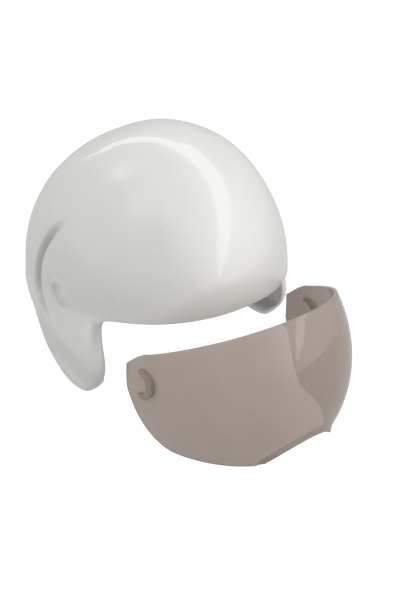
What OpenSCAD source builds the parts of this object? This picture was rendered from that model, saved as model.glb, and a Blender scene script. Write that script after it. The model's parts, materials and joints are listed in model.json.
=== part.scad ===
// Hard hat with a removable drop-down visor.
// Millimetres. The origin is on the visor's pivot axis, at mid width.
// The front faces -Y, the wearer's left is +X and up is +Z.

/* [Shell] */
// Half width of the shell at the pivots
shell_half_w = 114.5; // [110:0.5:120]
// Reach of the brow in front of the pivot axis
shell_front = 135; // [130:1:145]
// Reach of the back behind the pivot axis
shell_rear = 122.5; // [118:0.5:132]
// Height of the crown above the pivot axis
shell_crown = 141; // [137:0.5:152]
// Wall of the shell
shell_wall = 4; // [3:0.1:4.5]
// Height of the brow edge at the middle
brow_z = 5; // [2:0.5:12]
// Depth of the side lobes below the pivot axis
lobe_drop = 89; // [80:0.5:100]
// Depth of the rim at the nape
nape_drop = 30; // [24:1:40]
// Outward flare of the lobes
lobe_flare = 1.5; // [0.5:0.1:3]
// Rise of the raised panel behind the pivots
panel_rise = 1.2; // [0:0.1:3]
// Outward swell of the lobes' faces
lobe_bulge = 7; // [0:0.5:8]
// Forward lean of the lobes at their tips
lobe_push = 12; // [0:0.5:14]

/* [Visor] */
// Distance of the visor's ends inside the shell's sides
visor_inset = 10.5; // [10.5:0.1:13]
// Distance of the visor's sweep inside the shell's brow
visor_room = 10; // [9:0.1:14]
// Thickness of the lens
visor_wall = 3; // [2:0.1:4]
// Height of the top edge above the hooks at the ends
visor_top = 27; // [24:0.5:32]
// Slope of the top edge, rise over reach
visor_slope = 0.47; // [0.3:0.01:0.48]
// Depth of the lower edge below the hooks
visor_drop = 71.5; // [64:0.5:76]
// Width of the arch over the nose
nose_w = 88; // [76:1:110]
// Height of the arch over the nose
nose_h = 28.5; // [12:0.5:30]
// Width of the flared lip along the arch
lip_w = 8; // [5:0.5:10]
// Flare of the lip at its edge
lip_out = 2.5; // [1:0.1:3]
// Distance of the taken-off visor in front of its seat
visor_off_y = 106; // [100:0.5:125]
// Distance of the taken-off visor below its seat
visor_off_z = 49; // [45:0.5:60]

/* [Pivot] */
// Radius of the shell's pivot boss
boss_r = 8; // [6:0.1:9]
// Wall of the turning bush on the boss
bush_wall = 2.5; // [2:0.1:3]
// Width of the bush along the pivot axis
bush_w = 3; // [2.4:0.1:3]
// Wall of the visor's hook at its thickest
hook_wall = 7; // [4:0.1:9]

/* [Liner] */
// Room between the headband and the liner at the sides
head_room = 3; // [1:0.5:4]
// Height of the head space
head_crown = 104; // [98:0.5:107]
// Depth by which a stud stops short of the liner's outer face
stud_short = 5; // [3:0.5:6]

/* [Headband] */
// Outer radius of the headband's round ends
band_r = 80; // [77:0.5:81]
// Half of the headband's straight sides
band_half_side = 15; // [10:0.5:18]
// Wall of the headband
band_wall = 2.2; // [1.6:0.1:2.6]
// Height of the headband
band_h = 22; // [20:0.5:28]
// Downward tilt of the headband towards the nape, degrees
band_tilt = 20; // [12:0.5:22]

/* [Ratchet] */
// Teeth on the drive pinion, an even count
pinion_teeth = 10; // [8:2:12]
// Pitch radius of the drive pinion
pinion_r = 6; // [5:0.1:7]
// Radius of the grip knob
knob_r = 15; // [12:0.5:18]
// Thickness of the grip knob
knob_h = 9; // [7:0.5:11]
// Grip ribs round the knob
knob_ribs = 24; // [12:1:36]

/* [Clearances] */
// Gap between the visor's sweep and the liner
visor_gap = 2; // [1.5:0.1:3]
// Gap between sliding pieces
slide_gap = 0.3; // [0.2:0.05:0.5]
// Radial gap of a turning fit
run_gap = 0.08; // [0.03:0.01:0.1]
// Gap between a pad and what carries it
pad_gap = 0.3; // [0.2:0.05:0.5]

/* [Hidden] */
$fn = 96;
shell_mid_y = -14.5;
plan_power = 2.22;
lobe_power = 4;
front_power = 1.82;
side_power = 2.06;
lobe_front_a = 70;
lobe_tip_a = 86;
lobe_back_a = 113;
corner_z = -4;
lobe_swell = 4;
lobe_swell_t = 24;
lobe_swell_span = 13;
lobe_front_round = 2.8;
lobe_back_round = 1.85;
lobe_deep = 45;
push_top = 6;
push_span = 50;
push_back_a = 100;
push_fade_a = 30;
panel_mid_y = -45;
panel_mid_z = 2;
panel_step = 6;
panel_from_y = 2;
panel_fade_y = 24;
panel_from_x = 45;
panel_fade_x = 30;
ridge_reach = 82;
ridge_foot_y = 19;
ridge_foot_z = -22;
ridge_fall = 26.5;
ridge_bend = 8;
crease_depth = 2.2;
crease_w = 20;
ridge_soft = 1.2;
bevel_w = 24;
bevel_under = 0.25;
shoulder_rise = 1.5;
shoulder_x = 67;
shoulder_w = 16;
shoulder_from_z = 60;
shoulder_from_y = -110;
shoulder_fade = 40;
bulge_from_x = 60;
bulge_fade = 30;
bevel_from_y = 20;
side_z = -nape_drop + 2;
ear_z = -nape_drop + 10;
ear_a = 130;
shell_in_x = shell_half_w - shell_wall;
bush_r = boss_r + run_gap + bush_wall;
wall_gap = 2;
bush_out_x = shell_in_x - wall_gap;
bush_in_x = bush_out_x - bush_w;
flange_t = 1;
flange_gap = 0.1;
flange_trim = 0.4;
flange_x = bush_in_x - flange_gap;
hook_in_r = bush_r + slide_gap;
hook_out_x = bush_out_x - slide_gap;
visor_half_w = shell_half_w - visor_inset;
crown_drop = 6;
visor_r = min(shell_front, shell_crown - crown_drop) - visor_room;
visor_power = 2.15;
end_rear = 22.5;
end_top = 10;
end_break = 2;
end_low = 15;
low_round = 2.3;
off = [0, -visor_off_y, -visor_off_z];
head_power = 2.3;
nape_trim = 2;
head_half_w = band_r + head_room;
head_front = band_r + band_half_side + 2 * head_room;
head_rear = head_front - nape_trim;
liner_front_z = 6;
liner_back_z = -2;
liner_seat = 0.9;
liner_slope_a = 150;
liner_fill_y = end_rear + 3;
liner_fill_len = 32;
band_mid_y = -2;
band_mid_z = -4;
liner_half_w = visor_half_w - visor_wall - visor_gap;
liner_r = visor_r - visor_wall - visor_gap;
rack_in = band_r + slide_gap;
rack_wall = 2.4;
rack_out = rack_in + rack_wall;
rack_mid = (rack_in + rack_out) / 2;
cover_in = rack_out + slide_gap;
cover_wall = 2.2;
cover_out = cover_in + cover_wall;
housing_half_a = 24;
housing_half_h = band_h / 2 + 3;
rail_t = 2.5;
channel_half_h = housing_half_h - rail_t;
tooth_out = 1;
tooth_tip = 0.4;
rack_root = 1.05;
pinion_root = 0.85;
tooth_in = 1.5;
tooth_pitch = 2 * PI * pinion_r / pinion_teeth;
pitch_a = tooth_pitch / rack_mid * 180 / PI;
rack_teeth = 10;
rack_past_a = (rack_teeth / 2 + 0.1) * pitch_a;
shaft_r = 4;
white = [0.93, 0.93, 0.91];
smoke = [0.55, 0.44, 0.41, 0.45];
foam = [0.82, 0.83, 0.84];
black = [0.10, 0.10, 0.11];
grey = [0.35, 0.36, 0.38];
cloth = [0.18, 0.19, 0.21];
steel = [0.72, 0.73, 0.75];

// Ease from 0 to 1 as v runs from 0 to 1
function ease(v) = let(t = max(0, min(1, v))) t * t * (3 - 2 * t);
function mix(a, b, t) = a + (b - a) * t;

// A point of an egg-shaped dome: a is the bearing from the front, t the climb, both in degrees.
// Below the pivot axis the wall runs down, and its plan gets squarer in front, for the lobes.
function egg(a, t, w, front, rear, crown, plan, low_plan, flare) =
    let(
        c = cos(a),
        s = sin(a),
        low = ease(-t / 16),
        power = c > 0 ? mix(plan, low_plan, low) : plan,
        reach = c > 0 ? front + shell_mid_y : rear - shell_mid_y,
        plan_k = 1 / pow(pow(abs(s), power) + pow(abs(c), power), 1 / power),
        n = mix(front_power, side_power, s * s),
        up = max(t, 0),
        k = 1 / pow(pow(cos(up), n) + pow(sin(up), n), 1 / n),
        out = k * cos(up) * plan_k,
        z = t < 0 ? crown * t * PI / 180 : crown * k * sin(up)
    )
    [(w + flare * low) * s * out, shell_mid_y - reach * c * out, z];

// Height of the shell's rim at a bearing
function rim_z(a) =
    let(b = abs(a > 180 ? a - 360 : a))
    b < lobe_front_a ? mix(brow_z, corner_z, pow(b / lobe_front_a, 2)) :
    b < lobe_tip_a ?
        let(u = pow((lobe_tip_a - b) / (lobe_tip_a - lobe_front_a), lobe_front_round))
        mix(corner_z, -lobe_drop, pow(1 - u, 1 / lobe_front_round)) :
    b < lobe_back_a ?
        mix(-lobe_drop, side_z, pow((b - lobe_tip_a) / (lobe_back_a - lobe_tip_a), lobe_back_round)) :
    b < ear_a ? mix(side_z, ear_z, ease((b - lobe_back_a) / (ear_a - lobe_back_a))) :
    mix(ear_z, -nape_drop, ease((b - ear_a) / (180 - ear_a)));

// Distance behind the curve where the rear panel steps up and, lower down, the lobe's face breaks:
// a bow round the ear that bends into a straight fall to the lobe's front
function ridge_past(y, z) =
    let(
        bow = norm([y - panel_mid_y, z - panel_mid_z]) - ridge_reach,
        line = (y - ridge_foot_y) * sin(ridge_fall) - (z - ridge_foot_z) * cos(ridge_fall)
    )
    (bow + line + norm([bow - line, ridge_bend])) / 2;

// The raised panel, and the crease that runs along its step
function panel(x, y, z) =
    let(
        past = ridge_past(y, z),
        step = ease(past / panel_step),
        dip = past > 0 ? 1 - step : pow(max(0, 1 + past / crease_w), 2)
    )
    (panel_rise * step - crease_depth * dip)
        * ease((y - panel_from_y) / panel_fade_y) * ease((x - panel_from_x) / panel_fade_x);

function shoulder(x, y, z) =
    shoulder_rise * exp(-pow((x - shoulder_x) / shoulder_w, 2))
        * ease((z - shoulder_from_z) / shoulder_fade) * ease((y - shoulder_from_y) / shoulder_fade);

// Swell of a lobe's face: full in front of the ridge, falling off in a bevel behind it
function bulge(x, y, z) =
    let(
        past = ridge_past(y, z),
        soft = (past + norm([past, ridge_soft])) / 2
    )
    lobe_bulge * ease(-z / lobe_deep) * ease((x - bulge_from_x) / bulge_fade)
        * max(1 - soft / bevel_w, -bevel_under * ease((bevel_from_y - y) / bulge_fade));

// The lobes lean forwards below the brow
function pushed(p, a) =
    let(b = abs(a > 180 ? a - 360 : a))
    p - [0, lobe_push * ease((-p.z - push_top) / push_span) * ease((push_back_a - b) / push_fade_a), 0];

function shell_base(a, t, inset) =
    egg(a, t, shell_half_w - inset, shell_front - inset, shell_rear - inset, shell_crown - inset,
        plan_power, lobe_power, lobe_flare);

function shell_outer(a, t) =
    let(
        p = shell_base(a, t, 0),
        x = abs(p.x),
        out = [p.x, p.y - shell_mid_y, max(p.z, 0)],
        rise = panel(x, p.y, p.z) + shoulder(x, p.y, p.z)
    )
    pushed(p + out * rise / norm(out) + [sign(p.x) * bulge(x, p.y, p.z), 0, 0], a);

// The inner skin: the lobes get thicker towards their tips
function shell_inner(a, t) =
    pushed(shell_base(a, t, shell_wall + lobe_swell * ease((-t - lobe_swell_t) / lobe_swell_span)), a);

// The liner stays inside the visor's sweep in front, and fills the shell behind it
function sweep_point(a, t) =
    let(
        d = [sin(a) * cos(t), -cos(a) * cos(t), sin(t)],
        across = abs(d.x) / liner_half_w,
        around = norm([d.y, d.z]) / liner_r
    )
    d / pow(pow(across, visor_power) + pow(around, visor_power), 1 / visor_power);
function liner_out(a, t) =
    let(
        q = shell_base(a, t, shell_wall + liner_seat),
        k = ease((q.y - liner_fill_y) / liner_fill_len)
    )
    sweep_point(a, t) * (1 - k) + q * k;
function liner_in(a, t) =
    egg(a, t, head_half_w, head_front, head_rear, head_crown, head_power, head_power, 0);
function liner_rim(a) = mix(liner_front_z, liner_back_z, ease(abs(a > 180 ? a - 360 : a) / liner_slope_a));

// Bearings of one half, closer together across the lobe
half_bearings = concat([for (a = [0 : 7.5 : 60]) a], [64, 67, 69, 70, 70.5, 71.2, 72, 73.5, 75.5, 78, 82],
    [for (a = [86 : 3.5 : 131.5]) a], [for (a = [140 : 10 : 180]) a]);
shell_bearings = concat(half_bearings, [for (i = [len(half_bearings) - 2 : -1 : 1]) 360 - half_bearings[i]]);
liner_bearings = [for (a = [0 : 10 : 350]) a];

// A hollow dome between two skins that share bearings and a rim.
// Its low rows run from the rim up to a level row, and the others from there to the crown.
module dome(bearings, low_rows, high_rows, join_t, outer, inner, rim, crown) {
    n = len(bearings);
    rows = low_rows + high_rows;
    m = n * rows;
    climb = function (a, i) i < low_rows ? mix(rim(a) / crown * 180 / PI, join_t, i / low_rows) :
        mix(join_t, 90, (i - low_rows) / high_rows);
    skin = function (f) [for (i = [0 : rows - 1]) for (a = bearings) f(a, climb(a, i))];
    points = concat(skin(outer), [outer(0, 90)], skin(inner), [inner(0, 90)]);
    at = function (side, i, j) side * (m + 1) + i * n + j % n;
    wall = function (side) [for (i = [0 : rows - 2]) for (j = [0 : n - 1]) for (k = [0, 1])
        let(q = [at(side, i, j), at(side, i, j + 1), at(side, i + 1, j + 1), at(side, i + 1, j)])
        k == 0 ? [q[0], q[1], q[2]] : [q[0], q[2], q[3]]];
    top = function (side, j) at(side, rows - 1, j);
    cap = function (side) [for (j = [0 : n - 1]) [top(side, j), top(side, j + 1), side * (m + 1) + m]];
    lip = [for (j = [0 : n - 1]) for (k = [0, 1])
        let(q = [at(1, 0, j), at(1, 0, j + 1), at(0, 0, j + 1), at(0, 0, j)])
        k == 0 ? [q[0], q[1], q[2]] : [q[0], q[2], q[3]]];
    turned = function (faces) [for (f = faces) [f[2], f[1], f[0]]];
    polyhedron(points, concat(turned(wall(0)), turned(cap(0)), wall(1), cap(1), turned(lip)), convexity = 8);
}

// A bent pad: crowned towards the head, with drawn-in edges.
// u runs along it, v across it, and place(u, v, h) stands a height h off its seat.
module pad(place, height, long_steps, cross_steps) {
    n = long_steps + 1;
    m = cross_steps + 1;
    rise = function (u, v) height * sqrt(max(0, (1 - pow(abs(u), 6)) * (1 - pow(abs(v), 4))));
    us = [for (i = [0 : long_steps]) -cos(180 * i / long_steps)];
    vs = [for (j = [0 : cross_steps]) -cos(180 * j / cross_steps)];
    top = [for (u = us) for (v = vs) place(u, v, 0.25 * height + 0.75 * rise(u, v))];
    low = [for (u = us) for (v = vs) place(u, v, 0)];
    at = function (side, i, j) side * n * m + i * m + j;
    skin = function (side) [for (i = [0 : long_steps - 1]) for (j = [0 : cross_steps - 1]) for (k = [0, 1])
        let(q = [at(side, i, j), at(side, i, j + 1), at(side, i + 1, j + 1), at(side, i + 1, j)])
        k == 0 ? [q[0], q[1], q[2]] : [q[0], q[2], q[3]]];
    turned = function (faces) [for (f = faces) [f[2], f[1], f[0]]];
    edge = concat(
        [for (i = [0 : long_steps]) [i, 0]],
        [for (j = [1 : cross_steps]) [long_steps, j]],
        [for (i = [long_steps - 1 : -1 : 0]) [i, cross_steps]],
        [for (j = [cross_steps - 1 : -1 : 1]) [0, j]]);
    e = len(edge);
    side = [for (i = [0 : e - 1]) for (k = [0, 1])
        let(p = edge[i], q = edge[(i + 1) % e])
        k == 0 ? [at(0, q.x, q.y), at(1, q.x, q.y), at(1, p.x, p.y)] :
            [at(0, p.x, p.y), at(0, q.x, q.y), at(1, p.x, p.y)]];
    polyhedron(concat(top, low), concat(skin(0), turned(skin(1)), side), convexity = 4);
}

// Part of a ring about Z: radii, heights and bearings from +X
module arc(r1, r2, z1, z2, a1, a2) {
    rotate([0, 0, a1])
        rotate_extrude(angle = a2 - a1)
            translate([r1, z1])
                square([r2 - r1, z2 - z1]);
}

// A rod along X, from x1 to x2, on the pivot axis
module rod_x(r, x1, x2) {
    translate([x1, 0, 0])
        rotate([0, 90, 0])
            cylinder(r = r, h = x2 - x1);
}

// The headband's plane: its back is lower than its front
module band_frame() {
    translate([0, band_mid_y, band_mid_z])
        rotate([-band_tilt, 0, 0])
            children();
}

// The round back of the headband, whose axis the racks slide about
module rear_frame() {
    band_frame()
        translate([0, band_half_side, 0])
            children();
}

// A rod along the knob's axis, at a radius from the back's axis, offset across and up
module rod_out(r, y1, y2, x = 0, z = 0) {
    translate([x, y1, z])
        rotate([-90, 0, 0])
            cylinder(r = r, h = y2 - y1);
}

// Both sides of a piece that is drawn on the left
module both_sides() {
    children();
    mirror([1, 0, 0])
        children();
}

dimple_r = 30;
dimple_depth = 3.2;
dimple_y = -3;
dimple_z = 2;
dimple_lean = 33;
dimple_long = 1.5;
dimple_short = 0.7;
module outer_shell() {
    color(white)
        difference() {
            union() {
                dome(shell_bearings, 14, 8, 30, function (a, t) shell_outer(a, t),
                    function (a, t) shell_inner(a, t), function (a) rim_z(a), shell_crown);
                both_sides()
                    rod_x(boss_r, bush_in_x, shell_half_w - shell_wall / 2);
            }
            both_sides() {
                translate([shell_half_w + dimple_r - dimple_depth, dimple_y, dimple_z])
                    rotate([dimple_lean, 0, 0])
                        scale([1, dimple_long, dimple_short])
                            sphere(r = dimple_r);
                rod_x(screw_r, bush_in_x - 1, bush_in_x + screw_len);
            }
        }
}

screw_r = 1.8;
screw_len = 3;
module pivot_screw() {
    color(steel) {
        rod_x(bush_r - flange_trim, flange_x - flange_t, flange_x);
        rod_x(screw_r, flange_x - flange_t / 2, bush_in_x + screw_len - 0.2);
    }
}

module pivot_screw_left() {
    pivot_screw();
}

module pivot_screw_right() {
    mirror([1, 0, 0])
        pivot_screw();
}

module pivot_bush() {
    color(grey)
        difference() {
            rod_x(bush_r, bush_in_x, bush_out_x);
            rod_x(boss_r + run_gap, bush_in_x - 1, bush_out_x + 1);
        }
}

module pivot_bush_left() {
    pivot_bush();
}

module pivot_bush_right() {
    mirror([1, 0, 0])
        pivot_bush();
}

// The visor is turned about its pivot axis, then cut to its side outline.
// In the outlines x runs forwards from the hooks and y runs up.
visor_steps = 24;
function visor_profile(half_w, r) =
    [for (i = [0 : visor_steps])
        let(x = half_w * sin(90 * i / visor_steps))
        [r * pow(max(0, 1 - pow(x / half_w, visor_power)), 1 / visor_power), x]];

module visor_bowl(half_w, r) {
    rotate([0, 90, 0])
        rotate_extrude($fn = 144)
            polygon(concat(visor_profile(half_w, r),
                [for (i = [visor_steps : -1 : 1]) let(p = visor_profile(half_w, r)[i]) [p.x, -p.y]]));
}

// Lower edge of the visor at a reach in front of the hooks
lower_reach = 28;
function visor_low(f) =
    let(u = min(1, (f + end_rear) / (lower_reach + end_rear)))
    -end_low - (visor_drop - end_low) * (1 - pow(1 - u, low_round));

module visor_outline() {
    far = visor_r + 5;
    polygon(concat(
        [[-end_rear, end_top], [-end_break, visor_top]],
        [[far, visor_top + visor_slope * far], [far, -visor_drop]],
        [for (i = [12 : -1 : 0]) let(f = mix(-end_rear, lower_reach, i / 12)) [f, visor_low(f)]]));
}

// Side outlines are drawn forwards and up, and swept across the hat
module across(half_w) {
    rotate([90, 0, -90])
        linear_extrude(2 * half_w, center = true)
            children();
}

module hook() {
    translate([visor_half_w - visor_wall / 2, 0, 0])
        rotate([90, 0, 90])
            linear_extrude(hook_out_x - visor_half_w + visor_wall / 2)
                difference() {
                    translate([-hook_wall / 2, 0])
                        circle(r = hook_in_r + hook_wall / 2);
                    circle(r = hook_in_r);
                    translate([0, -hook_in_r])
                        square([3 * hook_in_r, 2 * hook_in_r]);
                    translate([1, -3 * hook_in_r])
                        square(6 * hook_in_r);
                }
}

// The arch over the nose is a round cut, and its lip flares outwards along most of it
nose_r = nose_w * nose_w / 8 / nose_h + nose_h / 2;
nose_mid_z = nose_h - visor_drop - nose_r;
lip_end_a = 5;
lip_half_a = acos(1 - nose_h / nose_r) - lip_end_a;
lip_steps = 20;
lip_root = 1.5;
lip_edge = 0.3;

// Point at a height over the lens's outer face, from its width and its place up
function lens_at(x, z, h) =
    let(
        r = visor_r * pow(1 - pow(abs(x) / visor_half_w, visor_power), 1 / visor_power),
        f = sqrt(r * r - z * z),
        g = pow(r / visor_r, visor_power - 1) / visor_r / r,
        n = [sign(x) * pow(abs(x) / visor_half_w, visor_power - 1) / visor_half_w, -f * g, z * g]
    )
    [x, -f, z] + n / norm(n) * h;

module nose_lip() {
    profile = concat(
        [for (u = [0 : 0.25 : 0.75]) [mix(lip_edge, lip_w, u), lip_out * pow(1 - u, 2)]],
        [[lip_w, -lip_edge], [lip_w, -lip_root], [lip_edge, -lip_root]]);
    n = len(profile);
    points = [for (i = [0 : lip_steps]) for (p = profile)
        let(a = mix(-lip_half_a, lip_half_a, i / lip_steps))
        lens_at((nose_r + p.x) * sin(a), nose_mid_z + (nose_r + p.x) * cos(a), p.y)];
    sides = [for (i = [0 : lip_steps - 1]) for (j = [0 : n - 1]) for (k = [0, 1])
        let(q = [i * n + j, i * n + (j + 1) % n, (i + 1) * n + (j + 1) % n, (i + 1) * n + j])
        k == 0 ? [q[0], q[1], q[2]] : [q[0], q[2], q[3]]];
    first = [for (j = [n - 1 : -1 : 0]) j];
    last = [for (j = [0 : n - 1]) lip_steps * n + j];
    polyhedron(points, concat(sides, [first, last]), convexity = 4);
}

module visor_lens() {
    color(smoke)
        translate(off) {
            difference() {
                intersection() {
                    difference() {
                        visor_bowl(visor_half_w, visor_r);
                        visor_bowl(visor_half_w - visor_wall, visor_r - visor_wall);
                    }
                    across(visor_half_w + 1)
                        visor_outline();
                }
                translate([0, -visor_r / 2, nose_mid_z])
                    rotate([90, 0, 0])
                        cylinder(r = nose_r, h = visor_r);
            }
            nose_lip();
            both_sides()
                hook();
        }
}

stud_r = 3.5;
stud_head_r = 6;
stud_head_t = 1.2;
front_stud_len = liner_r - band_r - band_half_side - stud_short;
front_stud_a = 38;
side_stud_len = liner_half_w - band_r - stud_short;
side_stud_a = 75;

// A stud along Z whose head is let into the inner face of what it holds
module stud(len) {
    cylinder(r = stud_r, h = len);
    cylinder(r = stud_head_r, h = stud_head_t);
}

// Four studs hang the headband in the liner, and one hangs the ratchet
module studs() {
    band_frame()
        both_sides()
            for (at = [[front_stud_a, front_stud_len], [side_stud_a, side_stud_len]])
                translate([0, -band_half_side, 0])
                    rotate([90, 0, at[0]])
                        translate([0, 0, band_r - band_wall])
                            stud(at[1]);
    translate([0, hanger_y, hanger_stud_z])
        rotate([-90, 0, 0])
            stud(hanger_stud_len);
}

module eps_liner() {
    color(foam)
        difference() {
            dome(liner_bearings, 2, 9, 12, function (a, t) liner_out(a, t), function (a, t) liner_in(a, t),
                function (a) liner_rim(a), (liner_r + head_crown) / 2);
            studs();
        }
}

module band_studs() {
    color(black)
        studs();
}

keeper_a = 30;
keeper_w_a = 4;
paddle_half_h = band_h / 2 - 2.5;
tail_a = 42;
module headband() {
    color(grey)
        difference() {
            band_frame() {
                translate([0, -band_half_side, 0])
                    arc(band_r - band_wall, band_r, -band_h / 2, band_h / 2, 180, 360);
                both_sides()
                    translate([band_r - band_wall, -band_half_side, -band_h / 2])
                        cube([band_wall, 2 * band_half_side, band_h]);
                translate([0, band_half_side, 0])
                    both_sides() {
                        arc(band_r - band_wall, band_r, -band_h / 2, band_h / 2, 0, tail_a);
                        difference() {
                            arc(band_r - band_wall / 2, cover_in + 1.2, -band_h / 2, band_h / 2,
                                keeper_a, keeper_a + keeper_w_a);
                            arc(band_r, cover_in, -paddle_half_h - slide_gap, paddle_half_h + slide_gap,
                                keeper_a - 1, keeper_a + keeper_w_a + 1);
                        }
                    }
            }
            studs();
        }
}

// Outline of a rack seen along the knob's axis: paddle, strip and teeth
paddle_in_a = 22;
paddle_out_a = 48;
paddle_x = rack_mid * cos(paddle_out_a);
paddle_end_x = rack_mid * cos(paddle_in_a);
rack_end_x = -rack_mid * sin(rack_past_a);
strip_low = pinion_r + tooth_in;
strip_top = channel_half_h - slide_gap;
module rack_outline() {
    teeth = [for (i = [0 : rack_teeth - 1])
        let(x = rack_mid * sin((i + 0.5 - rack_teeth / 2) * pitch_a))
        for (p = [[-rack_root, strip_low], [-tooth_tip, pinion_r - tooth_out],
            [tooth_tip, pinion_r - tooth_out], [rack_root, strip_low]])
        [x + p.x, p.y]];
    polygon(concat(
        [[paddle_end_x, -paddle_half_h], [paddle_end_x, paddle_half_h], [paddle_x, paddle_half_h],
            [paddle_x, strip_top], [rack_end_x, strip_top], [rack_end_x, strip_low]],
        teeth,
        [[paddle_x, strip_low], [paddle_x, -paddle_half_h]]));
}

module rack() {
    color(black)
        intersection() {
            difference() {
                cylinder(r = rack_out, h = 2 * band_h, center = true);
                cylinder(r = rack_in, h = 3 * band_h, center = true);
            }
            rotate([90, 0, 0])
                translate([0, 0, -2 * band_r])
                    linear_extrude(2 * band_r)
                        rack_outline();
        }
}

module rack_left() {
    rear_frame()
        rack();
}

module rack_right() {
    rear_frame()
        rotate([0, 180, 0])
            rack();
}

module at_cover_screws() {
    for (side = [-1, 1])
        for (up = [-1, 1])
            rotate([0, 0, side * 20])
                translate([0, 0, up * (housing_half_h - rail_t / 2)])
                    children();
}

// An upright arm hangs the housing from the back of the liner
hanger_half_w = 10;
hanger_t = 2.2;
hanger_top_z = 14;
hanger_stud_z = 6;
hanger_stud_len = 18;
rail_y = band_mid_y + (band_half_side + cover_in) * cos(band_tilt) + channel_half_h * sin(band_tilt);
rail_z = band_mid_z - (band_half_side + cover_in) * sin(band_tilt) + channel_half_h * cos(band_tilt);
hanger_set = 0.3;
hanger_y = rail_y - hanger_t - hanger_set;
hanger_foot_z = rail_z + (hanger_t + hanger_set) * tan(band_tilt) + slide_gap;
module hanger() {
    translate([-hanger_half_w, hanger_y, hanger_foot_z])
        cube([2 * hanger_half_w, hanger_t, hanger_top_z - hanger_foot_z]);
}

cover_screw_r = 0.8;
module ratchet_housing() {
    color(black)
        difference() {
            union() {
                rear_frame() {
                    arc(band_r - band_wall, band_r, -housing_half_h, housing_half_h,
                        90 - housing_half_a, 90 + housing_half_a);
                    for (z = [-housing_half_h, channel_half_h])
                        arc(band_r - 0.5, cover_in, z, z + rail_t, 90 - housing_half_a, 90 + housing_half_a);
                    rod_out(pin_r, band_r - band_wall, pinion_out);
                }
                hanger();
            }
            rear_frame()
                at_cover_screws()
                    rod_out(cover_screw_r, band_r - 1, cover_out + 1);
            studs();
        }
}

pin_r = 2;
pinion_in = band_r + 0.2;
pinion_out = cover_in - 0.6;
module ratchet_cover() {
    color(black)
        rear_frame()
            difference() {
                arc(cover_in, cover_out, -housing_half_h, housing_half_h,
                    90 - housing_half_a, 90 + housing_half_a);
                rod_out(shaft_r + run_gap, cover_in - 3, cover_out + 3);
                at_cover_screws()
                    rod_out(cover_screw_r, cover_in - 3, cover_out + 3);
            }
}

module cover_screws() {
    color(steel)
        rear_frame()
            at_cover_screws() {
                rod_out(cover_screw_r, band_r - 0.8, cover_out + 0.4);
                rod_out(cover_screw_r + 0.6, cover_out + 0.1, cover_out + 0.7);
            }
}

// The pinion turns on the housing's pin; its hub passes through the cover
module drive_pinion() {
    color(grey)
        rear_frame()
            difference() {
                union() {
                    translate([0, pinion_out, 0])
                        rotate([90, 0, 0])
                            linear_extrude(pinion_out - pinion_in) {
                                circle(r = pinion_r - tooth_in);
                                for (i = [0 : pinion_teeth - 1])
                                    rotate(90 + i * 360 / pinion_teeth)
                                        translate([pinion_r, 0])
                                            polygon([[-tooth_in - 0.4, -pinion_root], [tooth_out, -tooth_tip],
                                                [tooth_out, tooth_tip], [-tooth_in - 0.4, pinion_root]]);
                            }
                    rod_out(shaft_r, pinion_out - 0.5, knob_in);
                }
                rod_out(pin_r + run_gap, pinion_in - 1, pinion_out + 0.2);
                rod_out(screw_r, pinion_out + 1, knob_in + 1);
            }
}

spring_r = 9;
spring_t = 0.6;
spring_gap = 0.1;
knob_in = cover_out + spring_gap + spring_t + slide_gap;
module ratchet_knob() {
    color(black)
        rear_frame()
            difference() {
                union() {
                    rod_out(knob_r - 1, knob_in, knob_in + knob_h);
                    for (i = [0 : knob_ribs - 1])
                        rotate([0, i * 360 / knob_ribs, 0])
                            rod_out(1, knob_in, knob_in + knob_h - 1, knob_r - 1);
                }
                rod_out(knob_r - 5, knob_in + knob_h - 2, knob_in + knob_h + 1);
                rod_out(screw_r, knob_in - 1, knob_in + knob_h);
            }
}

module knob_screw() {
    color(steel)
        rear_frame() {
            rod_out(screw_r, pinion_out + 1.2, knob_in + knob_h - 1.8);
            rod_out(screw_r + 1.7, knob_in + knob_h - 2, knob_in + knob_h - 0.4);
        }
}

// Toothed spring washer between the cover and the knob, which gives the clicks
module detent_spring() {
    color(steel)
        rear_frame()
            translate([0, cover_out + spring_gap + spring_t, 0])
                rotate([90, 0, 0])
                    linear_extrude(spring_t)
                        difference() {
                            circle(r = spring_r);
                            circle(r = shaft_r + slide_gap);
                            for (i = [0 : 2 * pinion_teeth - 1])
                                rotate(i * 180 / pinion_teeth)
                                    translate([spring_r, 0])
                                        circle(r = 0.8);
                        }
}

pad_h = 5;
module brow_pad() {
    color(cloth)
        band_frame()
            translate([0, -band_half_side, 0])
                pad(function (u, v, h) let(r = band_r - band_wall - pad_gap - h, a = 270 - 66 * u)
                    [r * cos(a), r * sin(a), v * (band_h / 2 + 2)], pad_h, 28, 8);
}

module nape_pad() {
    color(cloth)
        rear_frame()
            pad(function (u, v, h) let(r = band_r - band_wall - pad_gap - h, a = 90 - 30 * u)
                [r * cos(a), r * sin(a), v * (housing_half_h + 3)], pad_h, 20, 10);
}

crown_pad_span = 34;
crown_pad_h = 7;
facet_gap = 0.5;
module crown_pad() {
    color(cloth)
        pad(function (u, v, h) let(
                x = -u * sqrt(1 - v * v / 2),
                y = v * sqrt(1 - u * u / 2),
                inset = pad_gap + facet_gap + h)
            egg(atan2(x, -y), 90 - crown_pad_span * norm([x, y]), head_half_w - inset, head_front - inset,
                head_rear - inset, head_crown - inset, head_power, head_power, 0), crown_pad_h, 20, 20);
}

outer_shell();
eps_liner();
crown_pad();
brow_pad();
nape_pad();
headband();
band_studs();
rack_left();
rack_right();
ratchet_housing();
ratchet_cover();
cover_screws();
detent_spring();
drive_pinion();
ratchet_knob();
knob_screw();
pivot_bush_left();
pivot_bush_right();
pivot_screw_left();
pivot_screw_right();
visor_lens();
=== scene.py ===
"""Looks of a hard hat with a taken-off visor. Shapes are in millimetres, in the frame of the solids."""
import json
import math

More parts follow.
